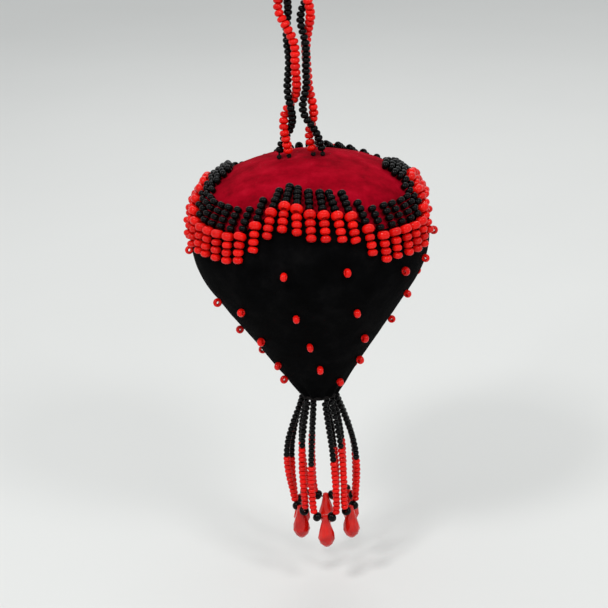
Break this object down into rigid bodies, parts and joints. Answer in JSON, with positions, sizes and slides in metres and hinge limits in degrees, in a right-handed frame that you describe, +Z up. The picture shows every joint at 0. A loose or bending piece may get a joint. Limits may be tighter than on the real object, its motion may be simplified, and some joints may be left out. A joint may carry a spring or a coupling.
{
  "type": "pin cushion",
  "caption": "Hanging strawberry-shaped pin cushion of red and black velvet with a beaded border, a twisted bead strap and a fringe of bead loops with glass drops.",
  "frame": {"origin": "inside top of the hanging loop, where the cushion hangs from a nail", "axes": "+Z up along the strap, front of the cushion towards -Y"},
  "size_m": [0.061, 0.0603, 0.1612],
  "materials": {
    "red_velvet": "matte",
    "black_velvet": "matte",
    "fibre": "matte",
    "thread_dark": "matte",
    "thread_red": "matte",
    "red_glass_bead": "gloss",
    "black_glass_bead": "gloss",
    "red_crystal": "polished"
  },
  "bodies": {
    "hanger": {"hanger_red_thread": "thread_red", "hanger_black_thread": "thread_dark", "hanger_red_beads": "red_glass_bead", "hanger_black_beads": "black_glass_bead"},
    "cushion": {"stuffing": "fibre", "dome_cover": "red_velvet", "cone_cover": "black_velvet", "gathering_knot": "thread_dark", "stitch_knots": "thread_dark", "border_large_beads": "red_glass_bead", "border_red_beads": "red_glass_bead", "border_black_beads": "black_glass_bead", "scattered_beads": "red_glass_bead"},
    "fringe_1": {"fringe_1_thread": "thread_dark", "fringe_1_black_beads": "black_glass_bead", "fringe_1_red_beads": "red_glass_bead", "fringe_1_spacers": "black_glass_bead"},
    "drop_1": {"drop_1": "red_crystal"},
    "fringe_2": {"fringe_2_thread": "thread_dark", "fringe_2_black_beads": "black_glass_bead", "fringe_2_red_beads": "red_glass_bead", "fringe_2_spacers": "black_glass_bead"},
    "drop_2": {"drop_2": "red_crystal"},
    "fringe_3": {"fringe_3_thread": "thread_dark", "fringe_3_black_beads": "black_glass_bead", "fringe_3_red_beads": "red_glass_bead", "fringe_3_spacers": "black_glass_bead"},
    "drop_3": {"drop_3": "red_crystal"},
    "fringe_4": {"fringe_4_thread": "thread_dark", "fringe_4_black_beads": "black_glass_bead", "fringe_4_red_beads": "red_glass_bead", "fringe_4_spacers": "black_glass_bead"},
    "drop_4": {"drop_4": "red_crystal"},
    "fringe_5": {"fringe_5_thread": "thread_dark", "fringe_5_black_beads": "black_glass_bead", "fringe_5_red_beads": "red_glass_bead", "fringe_5_spacers": "black_glass_bead"},
    "drop_5": {"drop_5": "red_crystal"},
    "fringe_6": {"fringe_6_thread": "thread_dark", "fringe_6_black_beads": "black_glass_bead", "fringe_6_red_beads": "red_glass_bead", "fringe_6_spacers": "black_glass_bead"},
    "drop_6": {"drop_6": "red_crystal"}
  },
  "joints": [
    {"name": "cushion_swing", "type": "hinge", "parent": "hanger", "child": "cushion", "pos_m": [0, 0, -0.0536], "axis": [1, 0, 0], "range_deg": [-30, 30]},
    {"name": "fringe_1_swing", "type": "hinge", "parent": "cushion", "child": "fringe_1", "pos_m": [-0.00331, 0.00207, -0.11568], "axis": [0.5299, 0.848, 0], "range_deg": [0, 35]},
    {"name": "drop_1_swing", "type": "hinge", "parent": "fringe_1", "child": "drop_1", "pos_m": [-0.00619, 0.00387, -0.14628], "axis": [0.5299, 0.848, 0], "range_deg": [-5, 40]},
    {"name": "fringe_2_swing", "type": "hinge", "parent": "cushion", "child": "fringe_2", "pos_m": [-0.00344, -0.00183, -0.11568], "axis": [-0.4695, 0.8829, 0], "range_deg": [0, 35]},
    {"name": "drop_2_swing", "type": "hinge", "parent": "fringe_2", "child": "drop_2", "pos_m": [-0.00645, -0.00343, -0.14568], "axis": [-0.4695, 0.8829, 0], "range_deg": [-5, 40]},
    {"name": "fringe_3_swing", "type": "hinge", "parent": "cushion", "child": "fringe_3", "pos_m": [-0.00014, -0.0039, -0.11568], "axis": [-0.9994, 0.0349, 0], "range_deg": [0, 35]},
    {"name": "drop_3_swing", "type": "hinge", "parent": "fringe_3", "child": "drop_3", "pos_m": [-0.00025, -0.0073, -0.14658], "axis": [-0.9994, 0.0349, 0], "range_deg": [-5, 40]},
    {"name": "fringe_4_swing", "type": "hinge", "parent": "cushion", "child": "fringe_4", "pos_m": [0.00331, -0.00207, -0.11568], "axis": [-0.5299, -0.848, 0], "range_deg": [0, 35]},
    {"name": "drop_4_swing", "type": "hinge", "parent": "fringe_4", "child": "drop_4", "pos_m": [0.00619, -0.00387, -0.14628], "axis": [-0.5299, -0.848, 0], "range_deg": [-5, 40]},
    {"name": "fringe_5_swing", "type": "hinge", "parent": "cushion", "child": "fringe_5", "pos_m": [0.00344, 0.00183, -0.11568], "axis": [0.4695, -0.8829, 0], "range_deg": [0, 35]},
    {"name": "drop_5_swing", "type": "hinge", "parent": "fringe_5", "child": "drop_5", "pos_m": [0.00645, 0.00343, -0.14578], "axis": [0.4695, -0.8829, 0], "range_deg": [-5, 40]},
    {"name": "fringe_6_swing", "type": "hinge", "parent": "cushion", "child": "fringe_6", "pos_m": [0.00014, 0.0039, -0.11568], "axis": [0.9994, -0.0349, 0], "range_deg": [0, 35]},
    {"name": "drop_6_swing", "type": "hinge", "parent": "fringe_6", "child": "drop_6", "pos_m": [0.00025, 0.0073, -0.14828], "axis": [0.9994, -0.0349, 0], "range_deg": [-5, 40]}
  ]
}
